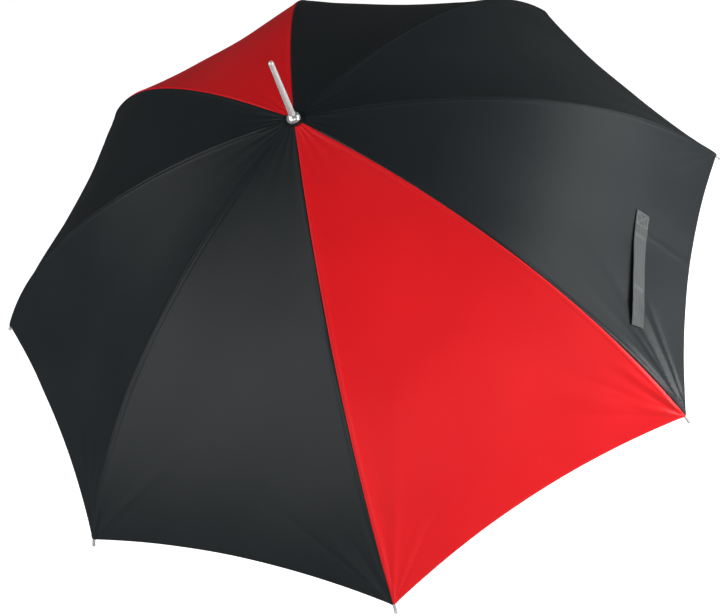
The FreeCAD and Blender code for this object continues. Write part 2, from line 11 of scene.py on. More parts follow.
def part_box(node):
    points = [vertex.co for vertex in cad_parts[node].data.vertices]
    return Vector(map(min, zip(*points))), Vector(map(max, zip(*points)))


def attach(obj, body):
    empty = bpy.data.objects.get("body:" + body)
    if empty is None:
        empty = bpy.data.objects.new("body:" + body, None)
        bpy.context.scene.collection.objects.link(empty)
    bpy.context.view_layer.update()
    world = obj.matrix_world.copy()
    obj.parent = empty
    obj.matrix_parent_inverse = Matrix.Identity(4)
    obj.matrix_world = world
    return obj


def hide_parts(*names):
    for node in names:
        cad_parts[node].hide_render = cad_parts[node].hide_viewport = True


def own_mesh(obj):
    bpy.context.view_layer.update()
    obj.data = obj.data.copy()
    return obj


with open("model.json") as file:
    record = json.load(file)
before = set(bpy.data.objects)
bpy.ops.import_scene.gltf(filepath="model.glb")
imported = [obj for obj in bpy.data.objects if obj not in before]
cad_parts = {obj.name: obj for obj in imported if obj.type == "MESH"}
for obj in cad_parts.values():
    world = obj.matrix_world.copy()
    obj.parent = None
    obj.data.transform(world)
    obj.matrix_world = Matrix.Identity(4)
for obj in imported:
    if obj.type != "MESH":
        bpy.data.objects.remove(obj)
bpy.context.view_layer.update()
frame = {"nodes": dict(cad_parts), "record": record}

MM = 0.001
SIDES = 8
HALF_PITCH = math.pi / SIDES
FIRST_RIB = math.radians(157.5)
# Panel K lies between rib K and the next one.
RED_PANELS = (3, 7)
STRAP_PANEL = 4

# The rib's line: three tangent arcs (length, turn), as on the frame. Metres and radians.
HINGE_RING = 13.5 * MM
START_SLOPE = math.radians(5.4)
ARCS = [(0.090, math.radians(2.8)), (0.255, math.radians(15.1)), (0.405, math.radians(30.6))]
# Stations are distances along a rib from its hinge at the crown.
SPLICE = ARCS[0][0] + ARCS[1][0]
CLOTH_START, CLOTH_END = -0.0047, 0.735
# How far the cloth lies over the rib's line, and how deep it sags as a share of its width.
CLOTH_LIFT = 3.3 * MM
SAG = 0.025
# Over the round crown notch, to about this station, the cloth is round too.
ROUND_REACH = 0.035
# How far each panel's hem is drawn in at its middle: the cloth is tighter on some panels.
HEM_DIPS = {1: 0.010, 2: 0.017, 3: 0.021, 4: 0.019, 5: 0.013, 6: 0.022, 7: 0.021, 8: 0.018}

crown_low, crown_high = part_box("crown_wire")
CROWN = (crown_low.z + crown_high.z) / 2


# --- Where the cloth lies ----------------------------------------------------------------


def rib_line(station):
    """The cloth over a rib: distance from the shaft, height over the hinges, and slope."""
    station = np.asarray(station, float)
    radius = np.full(station.shape, HINGE_RING)
    height = np.zeros(station.shape)
    slope = np.full(station.shape, START_SLOPE)
    before = np.minimum(station, 0.0)
    radius += before * math.cos(START_SLOPE)
    height -= before * math.sin(START_SLOPE)
    left = np.maximum(station, 0.0)
    for number, (length, turn) in enumerate(ARCS):
        run = left if number == len(ARCS) - 1 else np.minimum(left, length)
        bend = length / turn
        end = slope + run / bend
        radius += bend * (np.sin(end) - np.sin(slope))
        height += bend * (np.cos(end) - np.cos(slope))
        slope = end
        left = left - run
    return radius + CLOTH_LIFT * np.sin(slope), height + CLOTH_LIFT * np.cos(slope), slope


def half_span(station):
    """Half the distance between two ribs."""
    return rib_line(station)[0] * math.sin(HALF_PITCH)


def rib_angle(number):
    """The direction of a rib, seen from above."""
    return FIRST_RIB + (number - 1) * 2 * HALF_PITCH


def turned(points, angle):
    """Points of a panel's own frame, X down its middle, turned to their place on the umbrella."""
    c, s = math.cos(angle), math.sin(angle)
    x, y, z = points[..., 0], points[..., 1], points[..., 2]
    return np.stack([x * c - y * s, x * s + y * c, z + CROWN], -1)


def smooth_noise(x, y, seed, octaves=3):
    """Repeatable soft noise, about -1 to 1, made of a few sums of sines."""
    waves, falloff, peak = 5, 0.6, 1.4
    rng = np.random.default_rng(seed)
    total, weight = np.zeros_like(x), 0.0
    for octave in range(octaves):
        for _ in range(waves):
            angle = rng.uniform(0, 2 * math.pi)
            pace = 2 * math.pi * 2**octave * rng.uniform(0.7, 1.3)
            phase = rng.uniform(0, 2 * math.pi)
            share = falloff**octave
            total += share * np.sin(pace * (x * math.cos(angle) + y * math.sin(angle)) + phase)
            weight += share**2
    return total / math.sqrt(weight) / peak


def fan(across, along, tip, seed, folds, reach, height):
    """Shallow folds that spread from a corner where the cloth is pulled."""
    rng = np.random.default_rng(seed)
    dx, dy = across - tip[0], along - tip[1]
    distance = np.hypot(dx, dy)
    angle = np.arctan2(dx, -dy)
    # The folds lie to both sides of a line that leans toward the panel's middle, in radians.
    fan_half, lean, tip_zone = 0.62, math.copysign(0.42, tip[0]), 0.02
    total = np.zeros_like(across)
    for _ in range(folds):
        centre = rng.uniform(-1.0, 1.0) * fan_half - lean
        width = rng.uniform(0.035, 0.09)
        length = reach * rng.uniform(0.45, 1.2)
        rise = height * rng.uniform(0.4, 1.0) * rng.choice([-1, 1])
        profile = np.exp(-(((angle - centre) / width) ** 2))
        fade = (distance / (distance + tip_zone)) * np.exp(-((distance / length) ** 2))
        total += rise * profile * fade
    return total


# Single folds and pressed creases: start and end (across, along), half width and rise, metres.
CREASES = {
    2: [((0.180, 0.635), (0.242, 0.728), 5.0 * MM, -1.5 * MM),
        ((0.196, 0.600), (0.241, 0.715), 5.0 * MM, 1.1 * MM),
        ((0.150, 0.655), (0.236, 0.729), 6.0 * MM, 0.8 * MM)],
    3: [((0.185, 0.585), (0.243, 0.722), 5.0 * MM, 1.3 * MM),
        ((0.200, 0.650), (0.245, 0.729), 4.5 * MM, -1.4 * MM),
        ((0.185, 0.680), (0.243, 0.732), 5.5 * MM, 1.3 * MM),
        ((0.120, 0.615), (0.225, 0.716), 9.0 * MM, -0.8 * MM),
        ((-0.205, 0.600), (-0.246, 0.726), 5.0 * MM, 0.8 * MM)],
    4: [((0.002, 0.560), (0.008, 0.735), 3.5 * MM, 0.7 * MM),
        ((-0.085, 0.620), (-0.228, 0.727), 6.5 * MM, -2.0 * MM),
        ((-0.095, 0.600), (-0.234, 0.716), 6.5 * MM, 1.8 * MM),
        ((-0.165, 0.600), (-0.240, 0.724), 5.0 * MM, -1.5 * MM),
        ((-0.180, 0.560), (-0.240, 0.712), 5.0 * MM, 1.4 * MM)],
}


def crease(across, along, start, end, width, rise):
    """A straight fold that is narrowest and deepest toward its end, where the cloth is held."""
    grow_share, end_share, fade_share = 0.45, 1.04, 0.12
    wide_start, narrowing = 1.35, 0.7
    way = np.array(end) - np.array(start)
    run = float(np.hypot(*way))
    way = way / run
    ahead = ((across - start[0]) * way[0] + (along - start[1]) * way[1]) / run
    aside = (across - start[0]) * way[1] - (along - start[1]) * way[0]
    fade = np.clip(ahead / grow_share, 0, 1) * np.clip((end_share - ahead) / fade_share, 0, 1)
    spread = width * (wide_start - narrowing * np.clip(ahead, 0, 1))
    return rise * fade**2 * (3 - 2 * fade) * np.exp(-((aside / spread) ** 2))


def seam_relief(edge, station):
    """The seam over a rib: a sewn groove, then the doubled cloth of the seam allowance."""
    groove_depth, groove_half = 0.9 * MM, 1.5 * MM
    doubled, allowance, step, rounding = 0.55 * MM, 7.4 * MM, 1.4 * MM, 2.0 * MM
    groove = -groove_depth * np.clip(1 - edge / groove_half, 0, 1)
    rise = np.clip(edge / rounding, 0, 1) * np.clip((allowance - edge) / step, 0, 1)
    # The seam flattens out toward the crown.
    return (groove + doubled * rise) * np.clip((station - 0.02) / 0.03, 0, 1)


# Panels whose cloth is pulled harder than the rest at the corner on their first rib.
CORNER_PULL = {3: 1.3, 4: 1.9, 5: 1.1}


def cloth_relief(station, side, half_width, number):
    """How far the cloth stands off its stretched surface: folds, puckers and soft waves."""
    across, along = side * half_width, station
    edge = half_width * (1 - np.abs(side))
    corner = float(half_span(CLOTH_END))
    pull = CORNER_PULL.get(number, 1.0)
    relief = fan(across, along, (-corner, CLOTH_END), seed=10 * number, folds=9, reach=0.26,
                 height=1.5 * MM * pull)
    relief += fan(across, along, (corner, CLOTH_END), seed=10 * number + 1, folds=8, reach=0.22,
                  height=1.2 * MM)
    # Soft waves over the whole panel, longer along it than across.
    calm = np.clip(station / 0.25, 0, 1)
    relief += 1.4 * MM * calm * smooth_noise(across / 0.30, along / 0.42, 100 + number, 2)
    # Small puckers along the seams, stronger in some places than in others.
    pucker_pitch, pucker_rise, pucker_reach = 0.017, 0.22 * MM, 0.012
    drift = smooth_noise(along / 0.09, side * 0, number)
    pucker = np.sin(2 * math.pi * along / pucker_pitch + 2.2 * drift)
    uneven = 0.5 + 0.5 * smooth_noise(along / 0.12, side * 0 + 3.0, 40 + number)
    relief += pucker_rise * pucker * uneven * np.exp(-edge / pucker_reach) * calm
    # Gathers that run out from the crown.
    crown_fold = np.cos(side * math.pi * 3.5 + number) * np.exp(-station / 0.07)
    relief += 0.5 * MM * crown_fold * np.clip(station / 0.02, 0, 1)
    for start, end, width, rise in CREASES.get(number, []):
        relief += crease(across, along, start, end, width, rise)
    # The seams hold the cloth still, and the hem rolls under.
    hold = np.clip(edge / 0.006, 0, 1)
    hem = np.clip((CLOTH_END - station) / 0.004, 0, 1)
    rolled = np.clip(1 - (CLOTH_END - station) / (2.6 * MM), 0, 1)
    return relief * hold * (0.25 + 0.75 * hem) + seam_relief(edge, station) - 1.1 * MM * rolled


def panel_surface(station, side, number):
    """Points of a panel at stations and sides, where side runs from -1 to 1 between two ribs."""
    outward = np.clip(station, 0, None)
    bow = 1 - side**2
    drawn = station - HEM_DIPS[number] * (outward / CLOTH_END) ** 2 * bow
    radius, height, slope = rib_line(drawn)
    half_width = radius * math.sin(HALF_PITCH)
    drop = SAG * 2 * half_width * bow - cloth_relief(station, side, half_width, number)
    # Round over the crown notch, and stretched straight from rib to rib further out.
    round_share = bow * np.exp(-((outward / ROUND_REACH) ** 2))
    chord = math.cos(HALF_PITCH) + (1 - math.cos(HALF_PITCH)) * round_share
    ahead = radius * chord - drop * np.sin(slope)
    return np.stack([ahead, side * half_width, height - drop * np.cos(slope)], -1)


# --- Finishes ----------------------------------------------------------------------------


class Finish:
    """A material: one Principled surface, and the textures that vary it."""

    def __init__(self, name, colour, roughness, **sockets):
        self.material = bpy.data.materials.new(name)
        self.material.use_nodes = True
        self.tree = self.material.node_tree
        self.shader = self.tree.nodes["Principled BSDF"]
        self.colour = (*colour, 1.0)
        self.set("Base Color", self.colour)
        self.set("Roughness", roughness)
        for socket, value in sockets.items():
            self.set(socket.replace("_", " "), value)

    def set(self, socket, value):
        """A value that is the same all over the surface."""
        self.shader.inputs[socket].default_value = value

    def node(self, kind, **settings):
        """A new node of a kind, with its settings."""
        made = self.tree.nodes.new(kind)
        for name, value in settings.items():
            setattr(made, name, value)
        return made

    def join(self, start, end):
        """A link from an output to an input."""
        self.tree.links.new(start, end)

    def place(self, uv=None, stretch=(1, 1, 1)):
        """Where on the piece: its own object coordinates, or a UV map in metres, scaled."""
        if uv:
            source = self.node("ShaderNodeUVMap", uv_map=uv).outputs["UV"]
        else:
            source = self.node("ShaderNodeTexCoord").outputs["Object"]
        mapping = self.node("ShaderNodeMapping")
        mapping.inputs["Scale"].default_value = stretch
        self.join(source, mapping.inputs["Vector"])
        return mapping.outputs["Vector"]

    def noise(self, place, scale, detail=2.0, rough=0.5):
        """Cloudy noise, 0 to 1, with a number of patches to the metre."""
        made = self.node("ShaderNodeTexNoise")
        self.join(place, made.inputs["Vector"])
        made.inputs["Scale"].default_value = scale
        made.inputs["Detail"].default_value = detail
        made.inputs["Roughness"].default_value = rough
        return made.outputs["Fac"]

    def cells(self, place, scale):
        """Distance to the middle of the nearest of many small cells."""
        made = self.node("ShaderNodeTexVoronoi")
        self.join(place, made.inputs["Vector"])
        made.inputs["Scale"].default_value = scale
        return made.outputs["Distance"]

    def compute(self, operation, *values):
        """One arithmetic step on numbers and outputs."""
        made = self.node("ShaderNodeMath", operation=operation)
        for socket, value in zip(made.inputs, values):
            if hasattr(value, "links"):
                self.join(value, socket)
            else:
                socket.default_value = value
        return made.outputs["Value"]

    def spread(self, value, low, high, to_low=0.0, to_high=1.0):
        """A value between low and high, moved to another range and held inside it."""
        made = self.node("ShaderNodeMapRange")
        self.join(value, made.inputs["Value"])
        for name, number in zip(("From Min", "From Max", "To Min", "To Max"),
                                (low, high, to_low, to_high)):
            made.inputs[name].default_value = number
        return made.outputs["Result"]

    def shade(self, share, other, onto=None):
        """Blends the base colour toward another colour by a share."""
        made = self.node("ShaderNodeMix", data_type="RGBA")
        self.join(share, made.inputs["Factor"])
        if onto is None:
            made.inputs["A"].default_value = self.colour
        else:
            self.join(onto, made.inputs["A"])
        made.inputs["B"].default_value = (*other, 1.0)
        out = made.outputs["Result"]
        self.join(out, self.shader.inputs["Base Color"])
        return out

    def wear(self, value):
        """Lets a value set the roughness."""
        self.join(value, self.shader.inputs["Roughness"])

    def relief(self, height, distance, strength, over=None):
        """Fine relief that is too small for the mesh, over another relief if there is one."""
        made = self.node("ShaderNodeBump")
        made.inputs["Distance"].default_value = distance
        made.inputs["Strength"].default_value = strength
        self.join(height, made.inputs["Height"])
        if over is not None:
            self.join(over, made.inputs["Normal"])
        self.join(made.outputs["Normal"], self.shader.inputs["Normal"])
        return made.outputs["Normal"]

    def threads(self, place, pitch):
        """The height of a plain weave of threads of one pitch, 0 to 1."""
        split = self.node("ShaderNodeSeparateXYZ")
        self.join(place, split.inputs["Vector"])
        waves = [self.compute("SINE", self.compute("MULTIPLY", split.outputs[axis],
                                                   math.pi / pitch)) for axis in "XY"]
        return self.compute("MULTIPLY_ADD", self.compute("MULTIPLY", *waves), 0.5, 0.5)


def cloth_finish(name, colour, light, dark, roughness, gloss):
    """Fine plain-weave nylon with a soft satin shine and slightly uneven dye."""
    cloth = Finish(name, colour, roughness, IOR=gloss, Sheen_Weight=0.02,
                   Sheen_Roughness=0.5)
    flat = cloth.place("Cloth")
    patches, fine = cloth.noise(flat, 5.0, 3.0), cloth.noise(flat, 420.0, 2.0)
    dyed = cloth.shade(cloth.spread(patches, 0.35, 0.75), light)
    cloth.shade(cloth.spread(fine, 0.45, 0.9, 0.0, 0.5), dark, dyed)
    cloth.wear(cloth.spread(patches, 0.2, 0.8, roughness - 0.03, roughness + 0.05))
    # Soft unevenness, and over it the weave with threads that are thicker in places.
    thread_pitch = 0.34 * MM
    weave = cloth.threads(flat, thread_pitch)
    slub = cloth.noise(cloth.place("Cloth", (900.0, 60.0, 1.0)), 1.0, 1.0)
    soft = cloth.relief(cloth.noise(flat, 55.0, 3.0, 0.6), 0.35 * MM, 0.35)
    cloth.relief(cloth.compute("MULTIPLY_ADD", slub, 0.4, weave), 0.04 * MM, 0.35, soft)
    return cloth.material


def webbing_finish():
    """Narrow woven webbing with ribs along its length."""
    web = Finish("webbing", (0.062, 0.067, 0.068), 0.72, Specular_IOR_Level=0.3,
                 Sheen_Weight=0.5, Sheen_Roughness=0.4)
    flat = web.place("Cloth")
    split = web.node("ShaderNodeSeparateXYZ")
    web.join(flat, split.inputs["Vector"])

    def wave(axis, pitch):
        return web.compute("SINE", web.compute("MULTIPLY", split.outputs[axis],
                                               2 * math.pi / pitch))

    # Ribs along the webbing, threads across it, and a few broader and darker stripes.
    rib, pick, broad = wave("Y", 1.25 * MM), wave("X", 0.8 * MM), wave("Y", 7.0 * MM)
    tone = web.shade(web.spread(rib, -1.0, 1.0, 0.0, 0.45), (0.026, 0.028, 0.029))
    tone = web.shade(web.spread(broad, 0.2, 1.0, 0.0, 0.8), (0.020, 0.022, 0.023), tone)
    flecks = web.spread(web.noise(flat, 900.0), 0.4, 0.8, 0.0, 0.5)
    web.shade(flecks, (0.092, 0.098, 0.100), tone)
    web.relief(web.compute("MULTIPLY_ADD", pick, 0.35, rib), 0.16 * MM, 0.8)
    return web.material


def thread_finish():
    """Spun sewing thread, paler than the webbing where it catches the light."""
    thread = Finish("sewing_thread", (0.26, 0.27, 0.27), 0.6, Sheen_Weight=0.4)
    here = thread.place(stretch=(1.0, 1.0, 3.0))
    thread.shade(thread.spread(thread.noise(here, 700.0, 3.0), 0.35, 0.7, 0.0, 0.7),
                 (0.16, 0.168, 0.168))
    thread.relief(thread.noise(here, 2500.0, 2.0), 0.05 * MM, 0.6)
    return thread.material


def plain_finish(name, colour, roughness, grain, depth):
    """Lacquer or plastic with a fine grain, faint marks and slightly uneven gloss."""
    uneven = 0.06
    made = Finish(name, colour, roughness)
    here = made.place()
    smears = made.noise(here, 38.0, 4.0)
    made.wear(made.spread(smears, 0.3, 0.7, roughness - uneven, roughness + uneven))
    lighter = [min(1.0, part * 1.25 + 0.004) for part in colour]
    made.shade(made.spread(made.noise(here, 130.0, 3.0), 0.45, 0.8, 0.0, 0.6), lighter)
    made.relief(made.noise(here, grain, 3.0, 0.6), depth, 0.5)
    return made.material


def brushed_finish(name, colour, roughness, stretch, depth, metallic=1.0):
    """Turned or drawn metal, or drawn glass fibre: fine lines along or round it."""
    metal = Finish(name, colour, roughness, Metallic=metallic)
    lines = metal.noise(metal.place(stretch=stretch), 1.0, 3.0, 0.65)
    metal.wear(metal.spread(lines, 0.3, 0.7, roughness * 0.75, roughness * 1.35))
    metal.shade(metal.spread(metal.noise(metal.place(), 60.0, 3.0), 0.4, 0.8, 0.0, 0.5),
                [part * 0.86 for part in colour])
    metal.relief(lines, depth, 0.4)
    return metal.material


def foam_finish():
    """Closed-cell foam: fine pores with painted shade in their hollows, and a dull, slightly
    scuffed skin.
    """
    foam = Finish("grip_foam", (0.016, 0.016, 0.018), 0.82, Specular_IOR_Level=0.3,
                  Sheen_Weight=0.2, Sheen_Roughness=0.6)
    here = foam.place()
    pores = foam.cells(here, 900.0)
    scuff = foam.noise(here, 22.0, 4.0)
    tone = foam.shade(foam.spread(scuff, 0.5, 0.8, 0.0, 0.5), (0.034, 0.034, 0.036))
    # Painted shade: each pore is darkened toward its middle, where its hollow is deepest.
    foam.shade(foam.spread(pores, 0.0, 0.35, 0.8, 0.0), (0.006, 0.006, 0.007), tone)
    foam.wear(foam.spread(scuff, 0.3, 0.8, 0.86, 0.7))
    foam.relief(pores, 0.18 * MM, 0.7)
    return foam.material


# By the record's material slots; the sewing thread is the webbing slot's second finish. The tips,
# cap and ferrule are part metal, part pale base, so that they stay light where only black cloth
# is there to be reflected.
FINISHES = {
    "cloth_red": cloth_finish("cloth_red", (0.62, 0.007, 0.011), (0.70, 0.009, 0.012),
                              (0.54, 0.005, 0.009), 0.46, 1.27),
    "cloth_black": cloth_finish("cloth_black", (0.0100, 0.0128, 0.0145),
                                (0.0128, 0.0160, 0.0178), (0.0072, 0.0092, 0.0105), 0.46, 1.27),
    "hem_tape": cloth_finish("hem_tape", (0.012, 0.014, 0.015), (0.016, 0.018, 0.019),
                             (0.008, 0.009, 0.01), 0.6, 1.2),
    "rosette": cloth_finish("rosette", (0.008, 0.009, 0.009), (0.012, 0.013, 0.013),
                            (0.004, 0.005, 0.005), 0.6, 1.2),
    "webbing": webbing_finish(),
    "sewing_thread": thread_finish(),
    "shaft": plain_finish("shaft_lacquer", (0.018, 0.018, 0.02), 0.30, 1500.0, 0.01 * MM),
    "frame_steel": plain_finish("frame_lacquer", (0.02, 0.02, 0.022), 0.36, 1200.0, 0.02 * MM),
    "notch": plain_finish("notch_plastic", (0.02, 0.02, 0.022), 0.55, 1600.0, 0.05 * MM),
    "runner": plain_finish("runner_plastic", (0.022, 0.022, 0.025), 0.52, 1600.0, 0.05 * MM),
    "end_cap": plain_finish("end_cap_plastic", (0.018, 0.018, 0.02), 0.28, 900.0, 0.02 * MM),
    "glass_fibre": brushed_finish("glass_fibre", (0.05, 0.05, 0.052), 0.42, (900, 900, 30),
                                  0.02 * MM, 0.0),
    "wire": brushed_finish("drawn_wire", (0.6, 0.6, 0.6), 0.3, (400, 400, 400), 0.01 * MM),
    "spring_steel": brushed_finish("spring_steel", (0.56, 0.56, 0.57), 0.3, (900, 900, 60),
                                   0.01 * MM),
    "tip_metal": brushed_finish("tip_nickel", (0.62, 0.61, 0.59), 0.34, (160, 160, 160),
                                0.006 * MM, 0.35),
    "crown_cap": brushed_finish("cap_chrome", (0.80, 0.81, 0.80), 0.13, (200, 200, 500),
                                0.004 * MM, 0.72),
    "ferrule": brushed_finish("ferrule_aluminium", (0.66, 0.69, 0.68), 0.32, (300, 300, 2600),
                              0.012 * MM, 0.38),
    "grip": foam_finish(),
}

for part in frame["record"]["subparts"]:
    for place in frame["nodes"][part["node"]].material_slots:
        place.material = FINISHES[part["material_slot"]]


# --- Building cloth ----------------------------------------------------------------------


def grid_normals(points):
    """Smooth normals of a grid of points, rows by columns."""
    down = np.gradient(points, axis=0)
    across = np.gradient(points, axis=1)
    normal = np.cross(down, across)
    return normal / np.linalg.norm(normal, axis=-1, keepdims=True)


def upward(normals):
    """The same normals, all turned over if they point down on the whole."""
    return normals * np.sign(normals[:, :, 2].mean())


def add_piece(name, mesh):
    """A new object in the scene, for a mesh that already holds its finish."""
    piece = bpy.data.objects.new(name, mesh)
    bpy.context.scene.collection.objects.link(piece)
    return piece


def grid_piece(name, points, normals, flat, slot, closed=False):
    """A sheet of quads through a grid of points, with its flat pattern in metres as its UV map."""
    rows, columns = points.shape[:2]
    index = np.arange(rows * columns).reshape(rows, columns)
    if closed:
        index = np.concatenate([index, index[:, :1]], axis=1)
    a, b = index[:-1, :-1].ravel(), index[1:, :-1].ravel()
    c, d = index[1:, 1:].ravel(), index[:-1, 1:].ravel()
    faces = np.stack([a, b, c, d], -1)
    mesh = bpy.data.meshes.new(name)
    mesh.from_pydata(points.reshape(-1, 3).tolist(), [], faces.tolist())
    layer = mesh.uv_layers.new(name="Cloth")
    layer.data.foreach_set("uv", flat.reshape(-1, 2)[faces.ravel()].astype(np.float32).ravel())
    mesh.polygons.foreach_set("use_smooth", [True] * len(faces))
    mesh.materials.append(FINISHES[slot])
    if normals is not None:
        mesh.normals_split_custom_set_from_vertices(normals.reshape(-1, 3).tolist())
    return add_piece(name, mesh)


def outline_piece(name, mesh_maker, slot, finish=None):
    """A piece whose mesh is filled in by a function that is given an empty bmesh."""
    work = bmesh.new()
    mesh_maker(work)
    bmesh.ops.recalc_face_normals(work, faces=work.faces)
    mesh = bpy.data.meshes.new(name)
    work.to_mesh(mesh)
    work.free()
    mesh.polygons.foreach_set("use_smooth", [True] * len(mesh.polygons))
    mesh.materials.append(FINISHES[finish or slot])
    return add_piece(name, mesh)


def thicken(piece, thickness, offset):
    """Gives a sheet its thickness: offset 1 adds it on the upper side, 0 on both."""
    solid = piece.modifiers.new("thickness", "SOLIDIFY")
    solid.thickness, solid.offset = thickness, offset
    evaluated = piece.evaluated_get(bpy.context.evaluated_depsgraph_get())
    mesh = bpy.data.meshes.new_from_object(evaluated)
    piece.modifiers.clear()
    piece.data = mesh
    piece.data.polygons.foreach_set("use_smooth", [True] * len(piece.data.polygons))
    piece.data.set_sharp_from_angle(angle=math.radians(50))


# --- Canopy ------------------------------------------------------------------------------

# Each panel is cut into rings of cloth at these stations.
RING_ENDS = [CLOTH_START, 0.030, 0.060, 0.100, 0.150, 0.235, SPLICE, 0.440, 0.540, 0.620, 0.680,
             CLOTH_END]
# How far the folded cloth stands from the shaft at each station, in millimetres, which gives the
# share of its width that each ring keeps when folded.
FOLDED_RADIUS = [(0.0, 16), (0.030, 22), (0.060, 27), (0.090, 33), (0.140, 39), (0.200, 44),
                 (0.270, 45), (0.345, 41), (0.400, 52), (0.450, 58), (0.500, 61), (0.560, 60),
                 (0.620, 55), (0.680, 46), (0.735, 33)]
# The band of cloth along each rib: its columns' distances from the rib, and the largest share of a
# half panel that it takes near the crown.
BAND = np.array([0.0, 0.8, 1.6, 3.2, 5.0, 6.0, 7.4, 10.0, 13.0, 16.5, 20.0]) * MM
BAND_SHARE = 0.35
MAIN_COLUMNS = 96
ROW_STEP, HEM_ROW_STEP, HEM_ZONE = 6 * MM, 2.5 * MM, 25 * MM
CLOSE = 1e-9


def station_rows():
    """Stations of the rows of a panel's grid, with a row at the end of every ring."""
    ends = sorted([*RING_ENDS, CLOTH_END - HEM_ZONE])
    rows = [ends[0]]
    for low, high in zip(ends, ends[1:]):
        step = HEM_ROW_STEP if low >= CLOTH_END - HEM_ZONE - CLOSE else ROW_STEP
        count = max(1, math.ceil((high - low) / step - 1e-6))
        rows += [low + (high - low) * (part + 1) / count for part in range(count)]
    return np.array(rows)


def side_columns(station):
    """Sides, from -1 to 1, of the columns of a panel's grid at each row of stations."""
    half = half_span(station)
    narrow = np.minimum(1.0, BAND_SHARE * half / BAND[-1])
    edge = 1 - narrow[:, None] * BAND[None, :] / half[:, None]
    middle = np.linspace(-1, 1, MAIN_COLUMNS + 1)[None, 1:-1] * edge[:, -1:]
    return np.concatenate([-edge, middle, edge[:, ::-1]], axis=1)


def gather_share(low, high, rows, columns):
    """What share of its width a ring of cloth keeps when the umbrella is folded."""
    station = (low + high) / 2
    folded = float(np.interp(station, *zip(*FOLDED_RADIUS))) * MM * math.tan(HALF_PITCH)
    row = int(np.argmin(np.abs(rows - station)))
    half = float(half_span(station))
    return min(1.0, folded / (half * float(columns[row, -len(BAND)])))


def gather(piece):
    """Gives a piece its own copy of its mesh."""
    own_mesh(piece)


def cloth_part(name, number, grid, rows, low, high, span):
    """The part of a panel between two stations and some of its columns, and its points."""
    points, normals, flat = (part[(rows >= low - CLOSE) & (rows <= high + CLOSE)][:, span]
                             for part in grid)
    slot = "cloth_red" if number in RED_PANELS else "cloth_black"
    return grid_piece(name, points, normals, flat, slot), points


def build_panel(number):
    """One panel: rings of cloth between two ribs, and a band of cloth along each rib."""
    rows = station_rows()
    columns = side_columns(rows)
    stations = np.repeat(rows[:, None], columns.shape[1], axis=1)
    middle = rib_angle(number) + HALF_PITCH
    points = turned(panel_surface(stations, columns, number), middle)
    normals = upward(grid_normals(points))
    grid = (points, normals, np.stack([columns * half_span(stations), stations], -1))
    next_rib = number % SIDES + 1
    band, width = len(BAND), columns.shape[1]
    for ring, (low, high) in enumerate(zip(RING_ENDS, RING_ENDS[1:])):
        piece, spots = cloth_part(f"cloth_{number}_ring_{ring + 1}", number, grid, rows, low, high,
                                  slice(band - 1, width - band + 1))
        outer = low >= SPLICE - CLOSE
        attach(piece, f"canopy_hem_{number}" if outer else f"canopy_{number}")
        keep = gather_share(low, high, rows, columns)
        gather(piece)
        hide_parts(f"panel_{number}")
        kind = "rod" if outer else "rib"
    for side, rib, span in (("a", number, slice(0, band)),
                            ("b", next_rib, slice(width - band, None))):
        for part, kind, low, high in (("inner", "rib", CLOTH_START, SPLICE),
                                      ("outer", "rod", SPLICE, CLOTH_END)):
            piece, spots = cloth_part(f"cloth_{number}_seam_{side}_{part}", number, grid, rows,
                                      low, high, span)
            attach(piece, f"{kind}_{rib}")
            gather(piece)
            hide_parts(f"panel_{number}")
    build_hem(number, middle)


HEM_TAPE_WIDTH, HEM_TAPE_GAP, HEM_TAPE_DROP = 12 * MM, 4 * MM, 0.9 * MM
HEM_TAPE_SETBACK = 0.3 * MM


def build_hem(number, middle):
    """The binding sewn along the underside of a panel's edge."""
    rows = np.linspace(CLOTH_END - HEM_TAPE_WIDTH, CLOTH_END - HEM_TAPE_SETBACK, 6)
    half = float(half_span(CLOTH_END))
    reach = 1 - HEM_TAPE_GAP / half
    stations, sides = np.meshgrid(rows, np.linspace(-reach, reach, 91), indexing="ij")
    points = panel_surface(stations, sides, number)
    points = turned(points - upward(grid_normals(points)) * HEM_TAPE_DROP, middle)
    flat = np.stack([sides * half, stations], -1)
    tape = grid_piece(f"hem_tape_{number}", points, None, flat, "hem_tape")
    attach(tape, f"canopy_hem_{number}")
    gather(tape)
    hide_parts(f"hem_{number}")


for number in range(1, SIDES + 1):
    build_panel(number)


# --- Tie strap ---------------------------------------------------------------------------

# The strap lies across its panel: how far its middle is from the panel's, and the stations of
# its two ends.
STRAP_LENGTH, STRAP_WIDTH, STRAP_OFFSET = 0.206, 0.028, -0.065
STRAP_LOW_ROW, STRAP_HIGH_ROW = 0.6163, 0.6048
STRAP_THICKNESS, STRAP_SLANT = 0.9 * MM, 7 * MM
STRAP_LIFT, STRAP_LOOSE_LIFT = 1.0 * MM, 4.6 * MM
# Stitches: pitch, length, radius of the thread, and how far they lie in from the strap's edge.
STITCH_PITCH, STITCH_LONG, STITCH_THICK, STITCH_INSET = 3.0 * MM, 2.3 * MM, 0.5 * MM, 2.2 * MM
STITCH_BOX = 0.025
# Rows of stitches straight across, by their distance from the strap's sewn end.
STITCH_ROWS = (0.044, 0.047, 0.138, 0.142)


def on_cloth(across, row, number):
    """Points on a panel and its upward normals, at distances across it and along its middle."""
    side = across / half_span(row)
    step = 1 * MM
    here = panel_surface(row, side, number)
    down = panel_surface(row + step, side, number) - panel_surface(row - step, side, number)
    along = panel_surface(row, side + step, number) - panel_surface(row, side - step, number)
    normal = np.cross(down, along)
    normal /= np.linalg.norm(normal, axis=-1, keepdims=True)
    return here, normal


